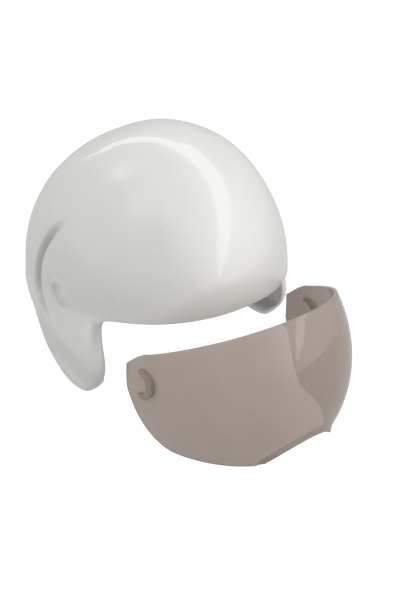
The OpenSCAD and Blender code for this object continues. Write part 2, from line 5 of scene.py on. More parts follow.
import bmesh
import bpy
from mathutils import Matrix, Vector


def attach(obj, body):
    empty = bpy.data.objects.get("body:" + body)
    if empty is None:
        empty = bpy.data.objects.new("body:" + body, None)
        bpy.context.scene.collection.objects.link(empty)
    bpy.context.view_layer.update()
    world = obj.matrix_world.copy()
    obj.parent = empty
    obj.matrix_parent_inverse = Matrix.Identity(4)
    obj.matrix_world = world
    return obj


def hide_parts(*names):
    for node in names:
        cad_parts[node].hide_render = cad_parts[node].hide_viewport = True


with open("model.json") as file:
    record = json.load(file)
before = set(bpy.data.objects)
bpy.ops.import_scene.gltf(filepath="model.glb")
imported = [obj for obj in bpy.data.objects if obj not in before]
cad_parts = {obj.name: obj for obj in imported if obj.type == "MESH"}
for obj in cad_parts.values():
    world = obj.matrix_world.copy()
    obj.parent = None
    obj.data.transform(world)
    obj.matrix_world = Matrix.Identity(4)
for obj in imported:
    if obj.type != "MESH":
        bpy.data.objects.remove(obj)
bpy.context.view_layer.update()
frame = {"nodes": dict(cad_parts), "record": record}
nodes = frame["nodes"]
MM = 0.001
TINY = 1e-6

# Sizes of the shell, in millimetres and degrees; a name that ends in A is an angle, in T a climb

SIZE_NAMES = ("half_w", "front", "rear", "crown")
SHELL = dict(half_w=114.5, front=135, rear=122.5, crown=141, wall=4, mid_y=-14.5)
PLAN_POWER, LOBE_POWER, FRONT_POWER, SIDE_POWER = 2.22, 4, 1.82, 2.06
BROW_Z, CORNER_Z, SIDE_Z, EAR_Z = 3.5, -4, -28, -20
LOBE_DROP, NAPE_DROP = 88, 30
LOBE_FRONT_A, LOBE_TIP_A, LOBE_BACK_A, EAR_A = 70, 86, 113, 130
LOBE_FRONT_ROUND, LOBE_BACK_ROUND = 2.8, 1.85
LOBE_FLARE, LOBE_FLARE_T = 1.5, 16
LOBE_SWELL, LOBE_SWELL_T, LOBE_SWELL_SPAN = 8, 24.5, 8
LOBE_PUSH, PUSH_TOP_Z, PUSH_SPAN, PUSH_END_A, PUSH_FADE_A = 12, -6, 50, 100, 30
LOBE_BULGE, BULGE_SPAN, BULGE_SOFT, BEVEL_W = 7, 45, 0.3, 24
BULGE_FROM_X, BULGE_FADE = 60, 30
DIP, DIP_FROM_Y, DIP_SPAN = -0.25, 20, 30
TUCK, TUCK_TOP, TUCK_SPAN, TUCK_MID_A, TUCK_END_A, TUCK_FADE_A = 1.6, 50, 56, 40, 72, 12
SHOULDER_RISE, SHOULDER_X, SHOULDER_W = 1.5, 67, 16
SHOULDER_FROM_Y, SHOULDER_FROM_Z, SHOULDER_FADE = -110, 60, 40
PANEL_RISE, PANEL_STEP, PANEL_MID = 1.2, 3.4, (-45, 2)
PANEL_FROM_X, PANEL_FADE_X, PANEL_FROM_Y, PANEL_FADE_Y = 45, 30, 2, 24
RIDGE_REACH, RIDGE_FOOT, RIDGE_FALL, RIDGE_BEND, RIDGE_SOFT = 83.5, (19, -22), 26.5, 8, 0.8
CREASE_DEPTH, CREASE_W = 2.2, 20
GROOVE_DEPTH, GROOVE_W, GROOVE_AT = 2.2, 2.0, 0.5
DIMPLE_DEPTH, DIMPLE_MID, DIMPLE_SIZE, DIMPLE_LEAN = 3.5, (-3, 2), (17, 12), 52
DIMPLE_FROM_X, DIMPLE_FADE = 90, 10
# Shares of the dimple's half size: the slope from its low end, the wall at its high end, the flanks
DIMPLE_RUN, DIMPLE_WALL_AT, DIMPLE_WALL, DIMPLE_FLANK = 1.4, 0.66, 0.3, 0.75
BOSS_IN, BOSS_R, BOSS_BORE, BOSS_EDGE = 105.5, 8, 1.8, 0.6
BOSS_FOOT, BOSS_FOOT_DEPTH, BOSS_SINK = 0.4, 0.8, 1.2

# Painted shade on the shell: its colour is darkened in the groove, at the dimple's high end, and behind the
# lobes' front edges

PAINTED_SHADE_GROOVE_W = 3.2
PAINTED_SHADE_DIMPLE_DEPTH, PAINTED_SHADE_DIMPLE_FROM, PAINTED_SHADE_DIMPLE_SPAN = 0.35, -0.1, 0.8
PAINTED_SHADE_EDGE_FROM, PAINTED_SHADE_EDGE_START, PAINTED_SHADE_EDGE_TO, PAINTED_SHADE_EDGE_FADE = -4, 3, 4, 9
PAINTED_SHADE_TOP_Z, PAINTED_SHADE_TOP_FADE, PAINTED_SHADE_LOW_Z, PAINTED_SHADE_LOW_FADE = CORNER_Z + 1, 6, -14, 30

# How the rim is divided and rounded; UNROLL is the radius of the cylinder that it is unrolled from

UNROLL = 120.0
RIM_STEPS, RIM_OVER, RIM_FINE_A, RIM_SMOOTH = 600, 4, 0.05, 5.0
LEVEL_T = 20.0
# Bearings on the rim, and where the same columns of points have become level
LEVEL_KEYS = [(0, 0), (60, 60), (LOBE_FRONT_A, 75), (LOBE_TIP_A, 96), (LOBE_BACK_A, 120), (180, 180)]
EDGE_ROWS = (1.2, 3, 5.5)
LOW_ROWS, HIGH_ROWS, INNER_SKIP = 84, 36, 3
ROUND_STEPS, ROUND_MOST, ROUND_SHARE, INNER_SHARE = 8, 8.0, 0.48, 0.12
FRONT_ROUND, FRONT_SHARE = 10.0, 0.85
FRONT_LEAD_A, FRONT_START_A, FRONT_STOP_A, FRONT_FADE_A = 1.5, 2, 4, 6
FRONT_TOP_Z, FRONT_TOP_FADE = CORNER_Z + 4, 22

# Sizes of the visor

VISOR = dict(half_w=104, r=125, wall=3, top=27, slope=0.47, drop=71.5, power=2.15)
VISOR_OFF = (0, -106, -49)
END_REAR, END_TOP, END_LOW = 22.5, 10, 15
# Points (reach, height above the top) where the end's upper edge bends into the sloped top edge
END_BEND = ((-8, -4.6), (0, 0.6))
TOP_START = 8
LOW_ROUND, LOW_REACH = 2.3, 28
NOSE_W, NOSE_H, FAR_BELOW = 88, 28.5, -1e3
LIP_W, LIP_OUT, LIP_END_A, LIP_FADE_A = 8, 2.5, 5, 1.5
HOOK_IN_R, HOOK_WALL, HOOK_OUT_X, HOOK_TIP, HOOK_SINK = 10.88, 7, 108.2, 1.0, 2.2
ARC_X = 100.5
END_COLS, BODY_COLS, LENS_ROWS, ROW_CROWD = 14, 72, 48, 1.8
TOP_SEARCH_A, LOW_SEARCH_A, HALVINGS = (-20, 89), (-140, 20), 60
LENS_EDGE, LENS_EDGE_A, HOOK_EDGE, HOOK_EDGE_A, EDGE_STEPS = 0.7, 50, 0.8, 35, 3

# Sizes of the liner, the headband and the pads

HEAD = dict(half_w=83, front=101, rear=99, crown=104, power=2.3)
LINER_HALF_W, LINER_R, LINER_SEAT = 99, 120, 0.9
LINER_FRONT_Z, LINER_BACK_Z, LINER_FALL_A = 6, -2, 150
LINER_JOIN_Y, LINER_JOIN_SPAN = END_REAR + 3, 32
LINER_COLS, LINER_ROWS, LIP_ROWS, LIP_RISE, LIP_POWER = 144, 40, 5, 3.0, 4
VENT_DEPTH, VENT_HALF_W, VENT_WALL, VENT_STEP_A, VENT_R = 2.2, 2, 2.5, 30, 85
VENT_LOW_T, VENT_LOW_FADE, VENT_HIGH_T, VENT_HIGH_FADE = 26, 10, 68, 8
BAND = dict(r=80, half_side=15, wall=2.2, h=22, tilt=20, mid_y=-2, mid_z=-4)
PAD_SEAT = BAND["r"] - BAND["wall"] - 0.3
PAD_EDGE, PAD_SWELL, PAD_BACK, PAD_LONG_POWER, PAD_CROSS_POWER = 0.22, 0.74, 0.2, 8, 4
SEAM_LEVEL, SEAM_POWER = 0.45, 0.45
HEM_DEPTH, HEM_AT, HEM_W = 0.35, 0.86, 0.035
BROW_HALF_A, BROW_OVER, NAPE_HALF_A, NAPE_OVER = 66, 2, 30, 6
CROWN_GAP, CROWN_HALF_T = 0.8, 34


# Small helpers

def ease(v):
    """A smooth step from 0 to 1."""
    t = max(0.0, min(1.0, v))
    return t * t * (3 - 2 * t)


def mix(a, b, t):
    return a + (b - a) * t


def hump(v, mid, width):
    """A bell curve, 1 at its middle."""
    return math.exp(-((v - mid) / width) ** 2)


def soft_max(a, b, blend):
    """The larger of two values, with a rounded change from one to the other."""
    return (a + b + math.hypot(a - b, blend)) / 2


def sin(d):
    return math.sin(math.radians(d))


def cos(d):
    return math.cos(math.radians(d))


def folded(a):
    """A bearing as an angle from the front, 0 to 180 on either side."""
    return min(a % 360, -a % 360)


def build(name, points, faces, smooth=True):
    """A mesh object from points in millimetres."""
    mesh = bpy.data.meshes.new(name)
    mesh.from_pydata([[c * MM for c in p] for p in points], [], faces)
    mesh.validate()
    work = bmesh.new()
    work.from_mesh(mesh)
    bmesh.ops.remove_doubles(work, verts=work.verts, dist=TINY)
    bmesh.ops.recalc_face_normals(work, faces=work.faces)
    work.to_mesh(mesh)
    work.free()
    if smooth:
        mesh.shade_smooth()
    obj = bpy.data.objects.new(name, mesh)
    bpy.context.scene.collection.objects.link(obj)
    return obj


def grid_faces(rows, cols, start=0, wrap=True):
    """Quads between rows of points; wrap joins the last column to the first."""
    last = cols if wrap else cols - 1
    return [(start + i * cols + j, start + i * cols + (j + 1) % cols,
             start + (i + 1) * cols + (j + 1) % cols, start + (i + 1) * cols + j)
            for i in range(rows - 1) for j in range(last)]


def closed_faces(rows, cols):
    """Faces of a closed skin: a first point, rows of points and a last point."""
    end = 1 + (rows - 1) * cols
    faces = grid_faces(rows, cols, start=1)
    faces += [(0, 1 + (j + 1) % cols, 1 + j) for j in range(cols)]
    faces += [(end + cols, end + j, end + (j + 1) % cols) for j in range(cols)]
    return faces


def round_edges(obj, width, angle):
    """Rounds the edges that turn by more than an angle."""
    bevel = obj.modifiers.new("edge", "BEVEL")
    bevel.width = width * MM
    bevel.segments = EDGE_STEPS
    bevel.limit_method = "ANGLE"
    bevel.angle_limit = math.radians(angle)


def lathe(name, profile, steps=64):
    """A turned piece about X from a profile of (radius, distance along the axis)."""
    turns = [360 * j / steps for j in range(steps)]
    points = [(x, r * cos(turn), r * sin(turn)) for r, x in profile for turn in turns]
    return build(name, points, grid_faces(len(profile), steps))


# The shell's surface

def egg(a, t, size, plan, low_plan, flare):
    """Point of an egg-shaped dome: a is the bearing from the front, t the climb."""
    w, front, rear, crown = size
    c, s = cos(a), sin(a)
    low = ease(-t / LOBE_FLARE_T)
    power = mix(plan, low_plan, low) if c > 0 else plan
    reach = front + SHELL["mid_y"] if c > 0 else rear - SHELL["mid_y"]
    plan_k = 1 / (abs(s) ** power + abs(c) ** power) ** (1 / power)
    n = mix(FRONT_POWER, SIDE_POWER, s * s)
    up = max(t, 0)
    k = 1 / (abs(cos(up)) ** n + abs(sin(up)) ** n) ** (1 / n)
    out = k * cos(up) * plan_k
    z = crown * math.radians(t) if t < 0 else crown * k * sin(up)
    return Vector(((w + flare * low) * s * out, SHELL["mid_y"] - reach * c * out, z))


def shell_base(a, t, inset=0.0):
    size = [SHELL[k] - inset for k in SIZE_NAMES]
    return egg(a, t, size, PLAN_POWER, LOBE_POWER, LOBE_FLARE)


def rim_z(a):
    """Height of the rim at a bearing: brow, the lobe's front and back edge, ear and nape."""
    b = folded(a)
    if b < LOBE_FRONT_A:
        return mix(BROW_Z, CORNER_Z, (b / LOBE_FRONT_A) ** 2)
    if b < LOBE_TIP_A:
        f = (LOBE_TIP_A - b) / (LOBE_TIP_A - LOBE_FRONT_A)
        return mix(CORNER_Z, -LOBE_DROP, (1 - f ** LOBE_FRONT_ROUND) ** (1 / LOBE_FRONT_ROUND))
    if b < LOBE_BACK_A:
        return mix(-LOBE_DROP, SIDE_Z, ((b - LOBE_TIP_A) / (LOBE_BACK_A - LOBE_TIP_A)) ** LOBE_BACK_ROUND)
    if b < EAR_A:
        return mix(SIDE_Z, EAR_Z, ease((b - LOBE_BACK_A) / (EAR_A - LOBE_BACK_A)))
    return mix(EAR_Z, -NAPE_DROP, ease((b - EAR_A) / (180 - EAR_A)))


def ridge_past(y, z):
    """Distance behind the curve where the panel steps up and, lower down, the lobe's face breaks."""
    bow = math.hypot(y - PANEL_MID[0], z - PANEL_MID[1]) - RIDGE_REACH
    line = (y - RIDGE_FOOT[0]) * sin(RIDGE_FALL) - (z - RIDGE_FOOT[1]) * cos(RIDGE_FALL)
    return soft_max(bow, line, RIDGE_BEND)


def panel_share(x, y):
    """1 on the shell's sides behind the pivot, where the panel and its groove are."""
    return ease((y - PANEL_FROM_Y) / PANEL_FADE_Y) * ease((x - PANEL_FROM_X) / PANEL_FADE_X)


def dimple_frame(y, z):
    """Place in the dimple at the pivot, along and across its lean, 1 at its edge."""
    y, z = y - DIMPLE_MID[0], z - DIMPLE_MID[1]
    return ((y * cos(DIMPLE_LEAN) + z * sin(DIMPLE_LEAN)) / DIMPLE_SIZE[0],
            (z * cos(DIMPLE_LEAN) - y * sin(DIMPLE_LEAN)) / DIMPLE_SIZE[1])


def dimple(y, z):
    """Depth of the dimple: steep at its high end behind, running out to the low end in front."""
    u, w = dimple_frame(y, z)
    if abs(u) >= 1:
        return 0.0
    along = ease((u + 1) / DIMPLE_RUN) * (1 - ease((u - DIMPLE_WALL_AT) / DIMPLE_WALL))
    return DIMPLE_DEPTH * along * ease((1 - abs(w) / math.sqrt(1 - u * u)) / DIMPLE_FLANK)


def pushed(p, a):
    """The lobes lean forwards below the brow."""
    lean = ease((PUSH_TOP_Z - p.z) / PUSH_SPAN) * ease((PUSH_END_A - folded(a)) / PUSH_FADE_A)
    return p - Vector((0, LOBE_PUSH * lean, 0))


def shell_out(a, t):
    """The outer face: smooth base, raised panel, shoulders, lobe face with its bevel, and dimple."""
    p = shell_base(a, t)
    b, x, y, z = folded(a), abs(p.x), p.y, p.z
    past = ridge_past(y, z)
    step = ease(past / PANEL_STEP)
    crease = 1 - step if past > 0 else max(0.0, 1 + past / CREASE_W) ** 2
    rise = PANEL_RISE * step - CREASE_DEPTH * crease - GROOVE_DEPTH * hump(past, GROOVE_AT, GROOVE_W)
    rise *= panel_share(x, y)
    rise -= (TUCK * ease((TUCK_TOP - z) / TUCK_SPAN) * ease(b / TUCK_MID_A)
             * ease((TUCK_END_A - b) / TUCK_FADE_A))
    rise += (SHOULDER_RISE * hump(x, SHOULDER_X, SHOULDER_W) * ease((z - SHOULDER_FROM_Z) / SHOULDER_FADE)
             * ease((y - SHOULDER_FROM_Y) / SHOULDER_FADE))
    slope = 1 - soft_max(past, 0, RIDGE_SOFT) / BEVEL_W
    dip = DIP * ease((DIP_FROM_Y - y) / DIP_SPAN)
    bulge = LOBE_BULGE * ease(-z / BULGE_SPAN) * soft_max(slope, dip, BULGE_SOFT)
    side = bulge * ease((x - BULGE_FROM_X) / BULGE_FADE)
    side -= dimple(y, z) * ease((x - DIMPLE_FROM_X) / DIMPLE_FADE)
    out = Vector((p.x, p.y - SHELL["mid_y"], p.z if z > 0 else 0))
    return pushed(p + out.normalized() * rise + Vector((math.copysign(side, p.x), 0, 0)), a)


def shell_in(a, t):
    """The inner face, further in at the lobes' tips."""
    swell = LOBE_SWELL * ease((-t - LOBE_SWELL_T) / LOBE_SWELL_SPAN)
    return pushed(shell_base(a, t, SHELL["wall"] + swell), a)


def painted_shade(a, t):
    """Painted shade: how far the outer face's colour is darkened, 0 to 1, in the groove, at the dimple's high
    end and behind the lobes' front edges.
    """
    p = shell_base(a, t)
    x, y, z = abs(p.x), p.y, p.z
    groove = hump(ridge_past(y, z), GROOVE_AT, PAINTED_SHADE_GROOVE_W) * panel_share(x, y)
    along, _ = dimple_frame(y, z)
    scoop = ease(dimple(y, z) / DIMPLE_DEPTH / PAINTED_SHADE_DIMPLE_DEPTH)
    scoop *= ease((along - PAINTED_SHADE_DIMPLE_FROM) / PAINTED_SHADE_DIMPLE_SPAN) * ease((x - DIMPLE_FROM_X) / DIMPLE_FADE)
    behind = math.radians(folded(a) - LOBE_FRONT_A) * UNROLL
    edge = ease((behind - PAINTED_SHADE_EDGE_FROM) / PAINTED_SHADE_EDGE_START)
    edge *= 1 - ease((behind - PAINTED_SHADE_EDGE_TO) / PAINTED_SHADE_EDGE_FADE)
    edge *= ease((PAINTED_SHADE_TOP_Z - z) / PAINTED_SHADE_TOP_FADE) * (1 - ease((PAINTED_SHADE_LOW_Z - z) / PAINTED_SHADE_LOW_FADE))
    return min(1.0, groove + scoop + edge)


# The shell's mesh, in columns of points that start evenly spaced along the rim

def even_rim():
    """Evenly spaced, smoothed points of the rim in the unrolled plane, and the inward direction at each."""
    full = math.radians(360) * UNROLL

    def around(points, i):
        """The i-th point of a closed run, a full turn further on each time the run begins again."""
        return points[i % len(points)] + Vector((full * (i // len(points)), 0))

    fine = []
    for i in range(round(360 / RIM_FINE_A)):
        a = i * RIM_FINE_A
        fine.append(Vector((math.radians(a) * UNROLL, rim_z(a))))
    gaps = [(around(fine, i + 1) - fine[i]).length for i in range(len(fine))]
    total, count = sum(gaps), RIM_OVER * RIM_STEPS
    run, at, even = 0.0, 0, []
    for k in range(count):
        want = total * k / count
        while run + gaps[at] < want:
            run += gaps[at]
            at += 1
        even.append(fine[at].lerp(around(fine, at + 1), (want - run) / gaps[at]))
    step = total / count
    reach = int(3 * RIM_SMOOTH / step)
    weights = [math.exp(-0.5 * (d * step / RIM_SMOOTH) ** 2) for d in range(-reach, reach + 1)]
    soft = []
    for i in range(count):
        near = (around(even, i - reach + d) * w for d, w in enumerate(weights))
        soft.append(sum(near, Vector((0, 0))) / sum(weights))
    rim, inward = [], []
    for i in range(0, count, RIM_OVER):
        along = (around(soft, i + 1) - around(soft, i - 1)).normalized()
        rim.append(soft[i])
        inward.append(Vector((-along.y, along.x)))
    return rim, inward


RIM, INWARD = even_rim()


def bearing_climb(p):
    """Bearing and climb, in degrees, of a point in the unrolled plane."""
    return math.degrees(p.x / UNROLL), math.degrees(p.y / SHELL["crown"])


def level_bearings():
    """Bearings of the columns where they are level, spread evenly between the rim's main points."""
    keys = LEVEL_KEYS + [(360 - a, 360 - level) for a, level in reversed(LEVEL_KEYS[:-1])]
    bearing = [math.degrees(p.x / UNROLL) for p in RIM]
    marks = [min(range(len(RIM)), key=lambda i: abs(bearing[i] - a)) for a, _ in keys[:-1]] + [len(RIM)]
    out = []
    for (j0, j1), (k0, k1) in zip(zip(marks, marks[1:]), zip(keys, keys[1:])):
        out += [mix(k0[1], k1[1], (j - j0) / (j1 - j0)) for j in range(j0, j1)]
    return out


LEVEL_A = level_bearings()


def front_share(a, z):
    """1 on the lobes' front edges, where the outer face turns in over a wider band."""
    b = folded(a)
    start = ease((b - LOBE_FRONT_A + FRONT_LEAD_A) / FRONT_START_A)
    stop = ease((LOBE_TIP_A - FRONT_STOP_A - b) / FRONT_FADE_A)
    return start * stop * ease((FRONT_TOP_Z - z) / FRONT_TOP_FADE)


def shell_rows():
    """Rows of (bearing, climb, share of the wall) from the outer crown round the rim to the inner crown."""
    n = len(RIM)
    walls, wide, deep = [], ([], []), ([], [])
    for p in RIM:
        a, t = bearing_climb(p)
        wall = (shell_out(a, t) - shell_in(a, t)).length
        plain = min(ROUND_SHARE * wall, ROUND_MOST)
        front = front_share(a, p.y)
        walls.append(wall)
        wide[0].append(mix(plain, FRONT_ROUND, front))
        deep[0].append(mix(plain, FRONT_SHARE * wall, front))
        for sizes in (wide[1], deep[1]):
            sizes.append(mix(plain, INNER_SHARE * wall, front))

    def offset(j, d):
        return bearing_climb(RIM[j] + INWARD[j] * d)

    def climb(top):
        shares = [i / LOW_ROWS for i in range(1, LOW_ROWS + 1)]
        low = [[(mix(a, level, f), mix(t, LEVEL_T, f)) for (a, t), level in zip(top, LEVEL_A)] for f in shares]
        high = [[(a, mix(LEVEL_T, 90, i / HIGH_ROWS)) for a in LEVEL_A] for i in range(1, HIGH_ROWS)]
        return low + high

    edge = [[[offset(j, wide[side][j] + d) for j in range(n)] for d in EDGE_ROWS] for side in (0, 1)]
    outer = [[(a, t, 0.0) for a, t in row] for row in reversed(edge[0] + climb(edge[0][-1]))]
    inner = [[(a, t, 1.0) for a, t in row] for row in edge[1] + climb(edge[1][-1])[::INNER_SKIP]]
    rounds = []
    for side in (0, 1):
        for i in range(ROUND_STEPS + 1):
            turn = 90 * (i / ROUND_STEPS if side == 0 else 1 - i / ROUND_STEPS)
            row = []
            for j in range(n):
                share = deep[side][j] * (1 - cos(turn)) / walls[j]
                row.append((*offset(j, wide[side][j] * (1 - sin(turn))), share if side == 0 else 1 - share))
            rounds.append(row)
    return outer + rounds + inner


def make_shell():
    rows = shell_rows()
    points = [shell_out(0, 90)]
    points += [shell_out(a, t).lerp(shell_in(a, t), q) for row in rows for a, t, q in row]
    points.append(shell_in(0, 90))
    obj = build("shell", points, closed_faces(len(rows), len(RIM)))
    # Painted shade: a share for each point by which the shell's colour is darkened, fading to none towards the
    # inner face.
    shade_layer = obj.data.attributes.new("painted_shade", "FLOAT", "POINT")
    shade_layer.data.foreach_set("value", [0.0] + [painted_shade(a, t) * (1 - q) for row in rows for a, t, q in row] + [0.0])
    return obj


def make_boss(name, side):
    """The boss inside the shell that a pivot bush turns on, with a foot sunk in the wall."""
    wall_x = SHELL["half_w"] - SHELL["wall"]
    profile = [(BOSS_BORE, BOSS_IN), (BOSS_R - BOSS_EDGE, BOSS_IN), (BOSS_R, BOSS_IN + BOSS_EDGE),
               (BOSS_R, wall_x - BOSS_EDGE), (BOSS_R + BOSS_FOOT, wall_x + BOSS_FOOT_DEPTH),
               (BOSS_BORE, wall_x + BOSS_SINK)]
    return lathe(name, [(r, side * x) for r, x in profile])


# The visor

def visor_x(r):
    """Half width of the lens's outer face at a distance from the pivot axis."""
    v = VISOR
    return v["half_w"] * max(0.0, 1 - (min(r, v["r"]) / v["r"]) ** v["power"]) ** (1 / v["power"])


def visor_r(x):
    """Distance of the lens's outer face from the pivot axis at a width."""
    v = VISOR
    return v["r"] * max(0.0, 1 - (abs(x) / v["half_w"]) ** v["power"]) ** (1 / v["power"])


def visor_low(f):
    """Height of the lower edge at a reach in front of the pivots."""
    u = min(1.0, max(0.0, (f + END_REAR) / (LOW_REACH + END_REAR)))
    return -END_LOW - (VISOR["drop"] - END_LOW) * (1 - (1 - u) ** LOW_ROUND)


NOSE_R = NOSE_W ** 2 / 8 / NOSE_H + NOSE_H / 2
NOSE_MID_Z = NOSE_H - VISOR["drop"] - NOSE_R
LIP_HALF_A = math.degrees(math.acos(1 - NOSE_H / NOSE_R)) - LIP_END_A


def nose_z(x):
    """Height of the arch over the nose at a width."""
    return NOSE_MID_Z + math.sqrt(NOSE_R ** 2 - x * x) if abs(x) < NOSE_R else FAR_BELOW


def lip_rise(x, up):
    """Flare of the lens's outer face along the arch over the nose."""
    past = (math.hypot(x, up - NOSE_MID_Z) - NOSE_R) / LIP_W
    bearing = abs(math.degrees(math.atan2(x, up - NOSE_MID_Z)))
    return LIP_OUT * max(0.0, 1 - max(past, 0)) ** 2 * ease((LIP_HALF_A - bearing) / LIP_FADE_A)


def solve(f, low, high):
    """Root of a rising function."""
    for _ in range(HALVINGS):
        mid = (low + high) / 2
        low, high = (mid, high) if f(mid) < 0 else (low, mid)
    return (low + high) / 2


def edge_angles(x):
    """Angles about the pivot axis of the lens's lower and upper edge at a width."""
    r = visor_r(x)
    top = solve(lambda g: r * sin(g) - VISOR["top"] - VISOR["slope"] * r * cos(g), *TOP_SEARCH_A)
    low = solve(lambda g: r * sin(g) - max(visor_low(r * cos(g)), nose_z(x)), *LOW_SEARCH_A)
    return low, top


ROW_SHARE = [(i / LENS_ROWS) ** ROW_CROWD for i in range(LENS_ROWS + 1)]


def lens_column(x):
    """Points (reach, height) of the lens at a width, from the lower to the upper edge."""
    low_a, top_a = edge_angles(x)
    r = visor_r(x)
    return [Vector((r * cos(mix(low_a, top_a, v)), r * sin(mix(low_a, top_a, v)))) for v in ROW_SHARE]


def walk(path, f):
    """Point at a fraction of the length of a path."""
    spans = [(Vector(b) - Vector(a)).length for a, b in zip(path, path[1:])]
    want = f * sum(spans)
    for a, b, s in zip(path, path[1:], spans):
        if want <= s:
            return Vector(a).lerp(Vector(b), want / s)
        want -= s
    return Vector(path[-1])


def lens_half():
    """Columns of (reach, height) from the rear end to the middle, each with its width where that is set."""
    arc = lens_column(ARC_X)
    rear = [Vector((-END_REAR, mix(-END_LOW, END_TOP, v))) for v in ROW_SHARE]
    top_path = [(-END_REAR, END_TOP)]
    top_path += [(reach, VISOR["top"] + height) for reach, height in END_BEND]
    top_path += [(TOP_START, VISOR["top"] + VISOR["slope"] * TOP_START), tuple(arc[-1])]
    steps = 24
    low_reach = [mix(-END_REAR, arc[0].x, i / steps) for i in range(steps)]
    low_path = [(f, visor_low(f)) for f in low_reach] + [tuple(arc[0])]
    cols = []
    for c in range(END_COLS):
        s = c / END_COLS
        straight = [p * (1 - s) + q * s for p, q in zip(rear, arc)]
        low_gap = walk(low_path, s) - straight[0]
        top_gap = walk(top_path, s) - straight[-1]
        cols.append((None, [p + low_gap * (1 - v) + top_gap * v for p, v in zip(straight, ROW_SHARE)]))
    for c in range(BODY_COLS + 1):
        x = ARC_X * sin(90 * (1 - c / BODY_COLS)) if c else ARC_X
        cols.append((x, lens_column(x)))
    return cols


def lens_point(x, f, up, depth):
    """Point of the lens at a depth under its outer face, in the hat's frame."""
    r = math.hypot(f, up)
    v = VISOR
    across = math.copysign((abs(x) / v["half_w"]) ** (v["power"] - 1) / v["half_w"], x)
    n = Vector((across,
                -f / max(r, TINY) * (r / v["r"]) ** (v["power"] - 1) / v["r"],
                up / max(r, TINY) * (r / v["r"]) ** (v["power"] - 1) / v["r"])).normalized()
    rise = lip_rise(x, up) if depth == 0 else 0
    return Vector(VISOR_OFF) + Vector((x, -f, up)) + n * (rise - depth)


def make_lens():
    half = lens_half()
    cols = [(-1, x, col) for x, col in half] + [(1, x, col) for x, col in reversed(half[:-1])]
    rows = LENS_ROWS + 1
    points = []
    for depth in (0, VISOR["wall"]):
        for side, x, col in cols:
            for p in col:
                width = visor_x(math.hypot(p.x, p.y)) if x is None else x
                points.append(lens_point(side * width, p.x, p.y, depth))
    n, skin = len(cols), len(cols) * rows

    def at(face, c, i):
        return face * skin + c * rows + i

    faces = []
    for c in range(n - 1):
        for i in range(rows - 1):
            faces.append((at(0, c, i), at(0, c + 1, i), at(0, c + 1, i + 1), at(0, c, i + 1)))
            faces.append((at(1, c, i), at(1, c, i + 1), at(1, c + 1, i + 1), at(1, c + 1, i)))
        for i in (0, rows - 1):
            faces.append((at(0, c, i), at(1, c, i), at(1, c + 1, i), at(0, c + 1, i)))
    for c in (0, n - 1):
        for i in range(rows - 1):
            faces.append((at(0, c, i), at(0, c, i + 1), at(1, c, i + 1), at(1, c, i)))
    lens = build("lens", points, faces)
    round_edges(lens, LENS_EDGE, LENS_EDGE_A)
    return lens


def arc_points(mid, r, start, end, steps=48):
    """Points of an arc about (mid, 0)."""
    turns = [mix(start, end, i / steps) for i in range(steps + 1)]
    return [(mid + r * cos(turn), r * sin(turn)) for turn in turns]


def make_hook(name, side):
    """The C-shaped hook on a lens end, open to the rear."""
    mid = -HOOK_WALL / 2
    big = HOOK_IN_R + HOOK_WALL / 2
    outer_end = math.degrees(math.acos((HOOK_TIP - mid) / big))
    inner_end = math.degrees(math.acos(HOOK_TIP / HOOK_IN_R))
    outline = arc_points(mid, big, outer_end, 360 - outer_end)
    outline += arc_points(0, HOOK_IN_R, 360 - inner_end, inner_end)
    n = len(outline)
    points = [(VISOR_OFF[0] + side * x, VISOR_OFF[1] + y, VISOR_OFF[2] + z)
              for x in (VISOR["half_w"] - HOOK_SINK, HOOK_OUT_X) for y, z in outline]
    faces = [tuple(range(n)), tuple(range(2 * n - 1, n - 1, -1))]
    faces += [(i, (i + 1) % n, n + (i + 1) % n, n + i) for i in range(n)]
    hook = build(name, points, faces, smooth=False)
    round_edges(hook, HOOK_EDGE, HOOK_EDGE_A)
    return hook


# The liner and the pads

def head_point(a, t, inset=0):
    """Point of the liner's inner face, or further in."""
    return egg(a, t, [HEAD[k] - inset for k in SIZE_NAMES], HEAD["power"], HEAD["power"], 0)


def liner_point(a, t):
    """Point of the liner's outer face: inside the visor's sweep in front, against the shell behind."""
    d = Vector((sin(a) * cos(t), -cos(a) * cos(t), sin(t)))
    power = VISOR["power"]
    k = ((abs(d.x) / LINER_HALF_W) ** power + (math.hypot(d.y, d.z) / LINER_R) ** power) ** (1 / power)
    q = shell_base(a, t, SHELL["wall"] + LINER_SEAT)
    f = ease((q.y - LINER_JOIN_Y) / LINER_JOIN_SPAN)
    return (d / k) * (1 - f) + q * f


